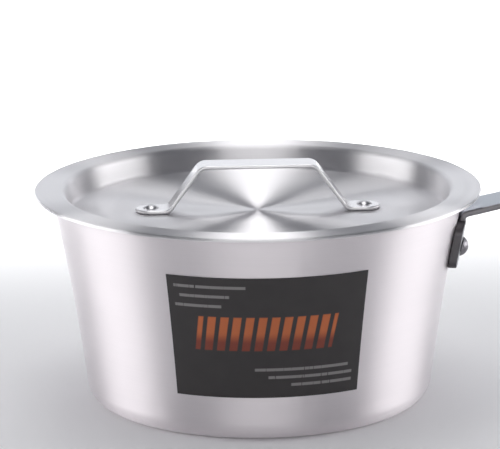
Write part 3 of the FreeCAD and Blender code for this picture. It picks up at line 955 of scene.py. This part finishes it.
# %% Rivet tree
rivet_inputs = [("Steps around", "NodeSocketInt"), ("Count", "NodeSocketInt"),
                ("First angle", "NodeSocketFloat"), ("Angle between", "NodeSocketFloat"),
                ("Reach", "NodeSocketFloat"), ("Height", "NodeSocketFloat"),
                ("Tip over", "NodeSocketFloat"), ("Finish", "NodeSocketMaterial")]
rivet_graph, rivet_in = new_geometry_tree("rivets", rivet_inputs)
one_rivet = turn_on_axis(rivet_graph, rivet_in["Geometry"], rivet_in["Steps around"])
row = rivet_graph.add("GeometryNodeMeshLine", None, {"Count": rivet_in["Count"]})
number = rivet_graph.add("GeometryNodeInputIndex")
swing = rivet_in["First angle"] + number * rivet_in["Angle between"]
spot = vector_of(rivet_graph, rivet_in["Reach"] * swing.math("COSINE"),
                 rivet_in["Reach"] * swing.math("SINE"), rivet_in["Height"])
ring_of_spots = rivet_graph.add("GeometryNodeSetPosition", None,
                                {"Geometry": row, "Position": spot})
lean_out = vector_of(rivet_graph, y=rivet_in["Tip over"], z=swing)
copies = rivet_graph.add("GeometryNodeInstanceOnPoints", None,
                         {"Points": ring_of_spots, "Instance": one_rivet, "Rotation": lean_out})
finish_geometry_tree(rivet_graph, copies, rivet_in["Finish"])


RIVET_STEPS = 48
DOME_STEPS = 14
DIMPLE_SHARE = 0.38


def rivet_outline(seat, tail, head, rise, shank, foot, foot_height, dimple):
    """A domed rivet's outline from the axis below to the axis above.

    seat and tail are the heights of the head's and the foot's inner faces; head, shank
    and foot are radii; rise, foot_height and dimple are how far each goes.
    """
    points = rounded([(0, tail - foot_height, 0), (foot, tail - foot_height, foot_height / 2),
                      (foot, tail, 0), (shank, tail, 0), (shank, seat, 0)])
    dome = (head ** 2 + rise ** 2) / (2 * rise)
    lowest = math.asin(head / dome)
    for step in range(DOME_STEPS + 1):
        angle = lowest * (1 - step / DOME_STEPS)
        x = dome * math.sin(angle)
        sunk = dimple * max(0.0, 1 - (x / (DIMPLE_SHARE * head)) ** 2)
        points.append(Vector((x, seat + rise - dome * (1 - math.cos(angle)) - sunk)))
    return points

# %% Rivets of the long handle
INNER_FOOT = 5 * MM
INNER_WALL_RADIUS = 102 * MM
RIVETS_APART = math.radians(17)

wall_hollow = INNER_FOOT ** 2 / (2 * INNER_WALL_RADIUS)
saddle_bulge = SADDLE_HEIGHT ** 2 / (8 * FLARE)
handle_rivet = rivet_outline(seat=saddle_thickness + saddle_bulge + 2 * SEAT_GAP,
                             tail=-WALL - wall_hollow - SEAT_GAP,
                             head=5.35 * MM, rise=3.6 * MM, shank=3 * MM,
                             foot=INNER_FOOT, foot_height=1.4 * MM, dimple=0)
handle_rivets = made_by(rivet_graph.tree, outline_object("handle_rivet_outline", handle_rivet),
                        "handle_rivets",
                        **{"Steps around": RIVET_STEPS, "Count": 2,
                           "First angle": -RIVETS_APART / 2, "Angle between": RIVETS_APART,
                           "Reach": rivet_reach, "Height": rivet_height,
                           "Tip over": math.pi / 2 + wall_lean, "Finish": rivet_metal_painted_shade})
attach(handle_rivets, "pan")
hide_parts("handle_rivet_front", "handle_rivet_back")

# %% Rivets of the lid
LID_RIVET_REACH = 57.5 * MM

lid_rivet = rivet_outline(seat=STRAP + SEAT_GAP, tail=-SHEET - SEAT_GAP,
                          head=4.2 * MM, rise=1.8 * MM, shank=2.2 * MM,
                          foot=4 * MM, foot_height=1.2 * MM, dimple=0.5 * MM)
lid_rivets = made_by(rivet_graph.tree, outline_object("lid_rivet_outline", lid_rivet),
                     "lid_rivets",
                     **{"Steps around": RIVET_STEPS, "Count": 2,
                        "First angle": 0.0, "Angle between": math.pi,
                        "Reach": LID_RIVET_REACH, "Height": plate_top,
                        "Tip over": 0.0, "Finish": rivet_metal})
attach(lid_rivets, "lid")
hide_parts("lid_rivet_left", "lid_rivet_right")

# %% [markdown]
# ## The label
#
# A dark satin film is stuck to the front of the wall. It is a grid bent to the wall's
# own curve with a real thickness, and it carries a UV map of its own, so its print
# stays put on the film. The print is a plain band of slanted dashes and grey lines.

# %% Label finish
DASHES = 11
DASHED_SPAN = 0.70
SLANT = 0.10
BAND_ENDS = (0.085, 0.79)
BAND_EDGES = (0.394, 0.672)
BAND_MIDDLE = 0.50
HALF_LINE = 0.012
GREY_LINES = ((0.918, 0.035, 0.39), (0.840, 0.06, 0.31), (0.760, 0.035, 0.27),
              (0.235, 0.43, 0.93), (0.170, 0.50, 0.955), (0.105, 0.62, 0.955))

label_material, label_graph, label_shader = new_material("label_film")
label_uv = label_graph.add("ShaderNodeUVMap", {"uv_map": "print"})
across, upward, _ = parts_of(label_graph, label_uv)
slanted = across - upward * SLANT
dash = (slanted * (DASHES / DASHED_SPAN)).math("FRACT").between(0.10, 0.74, 0.05)
band = dash * slanted.between(*BAND_ENDS, 0.004) * upward.between(*BAND_EDGES, 0.006)
lower_part = 1 - upward.above(BAND_MIDDLE, 0.05)


def printed_line(height, first, last):
    """A thin grey line of the print, at a height and from one place across to another."""
    return (upward.between(height - HALF_LINE, height + HALF_LINE, 0.003)
            * across.between(first, last, 0.004))


lines = printed_line(*GREY_LINES[0])
for grey_line in GREY_LINES[1:]:
    lines = lines + printed_line(*grey_line)
broken = noise(label_graph, vector_of(label_graph, across * 120.0, upward * 4.0), 1.0, 1.0)
lines = lines * broken.above(0.34, 0.06)
film_clouds = noise(label_graph, vector_of(label_graph, across * 9.0, upward * 7.0), 1.0, 3.0)
black = blend_colours(label_graph, film_clouds,
                      (0.016, 0.013, 0.014, 1), (0.028, 0.024, 0.025, 1))
with_lines = blend_colours(label_graph, lines * 0.8, black, (0.22, 0.21, 0.21, 1))
orange = blend_colours(label_graph, lower_part, (0.42, 0.105, 0.030, 1), (0.17, 0.028, 0.012, 1))
label_graph.feed(label_shader.inputs["Base Color"],
                 blend_colours(label_graph, band, with_lines, orange))
label_graph.feed(label_shader.inputs["Roughness"], 0.42 + film_clouds * 0.12 - band * 0.08)
feed_bump(label_graph, label_shader, 0.01 * MM, film_clouds + band * 0.5)
print("label:", DASHES, "dashes and", len(GREY_LINES), "grey lines")

# %% Label
LABEL_HALF_ANGLE = math.radians(29.4)
LABEL_FILM = 0.2 * MM
label_low, label_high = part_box("label")
COLUMNS, ROWS = 64, 24

film = bmesh.new()
print_map = film.loops.layers.uv.new("print")
places = {}
for side, outwards in (("back", SEAT_GAP), ("face", SEAT_GAP + LABEL_FILM)):
    for column in range(COLUMNS + 1):
        for row_number in range(ROWS + 1):
            angle = LABEL_HALF_ANGLE * (2 * column / COLUMNS - 1)
            z = label_low.z + (label_high.z - label_low.z) * row_number / ROWS
            radius = wall_face(z, outwards)
            vert = film.verts.new((radius * math.sin(angle), -radius * math.cos(angle), z))
            places[side, column, row_number] = vert, (column / COLUMNS, row_number / ROWS)


def film_face(*corners):
    """One face of the film, with its corners' places on the print."""
    face = film.faces.new([places[corner][0] for corner in corners])
    for loop, corner in zip(face.loops, corners):
        loop[print_map].uv = places[corner][1]


for column in range(COLUMNS):
    for row_number in range(ROWS):
        for side in ("back", "face"):
            film_face((side, column, row_number), (side, column + 1, row_number),
                      (side, column + 1, row_number + 1), (side, column, row_number + 1))
for column in range(COLUMNS):
    for row_number in (0, ROWS):
        film_face(("back", column, row_number), ("back", column + 1, row_number),
                  ("face", column + 1, row_number), ("face", column, row_number))
for row_number in range(ROWS):
    for column in (0, COLUMNS):
        film_face(("back", column, row_number), ("back", column, row_number + 1),
                  ("face", column, row_number + 1), ("face", column, row_number))
bmesh.ops.recalc_face_normals(film, faces=film.faces)
label_mesh = bpy.data.meshes.new("label_film")
film.to_mesh(label_mesh)
film.free()
label_mesh.materials.append(label_material)
keep_flats_flat(label_mesh)
label = bpy.data.objects.new("label_film", label_mesh)
bpy.context.scene.collection.objects.link(label)
report(label)
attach(label, "pan")
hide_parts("label")
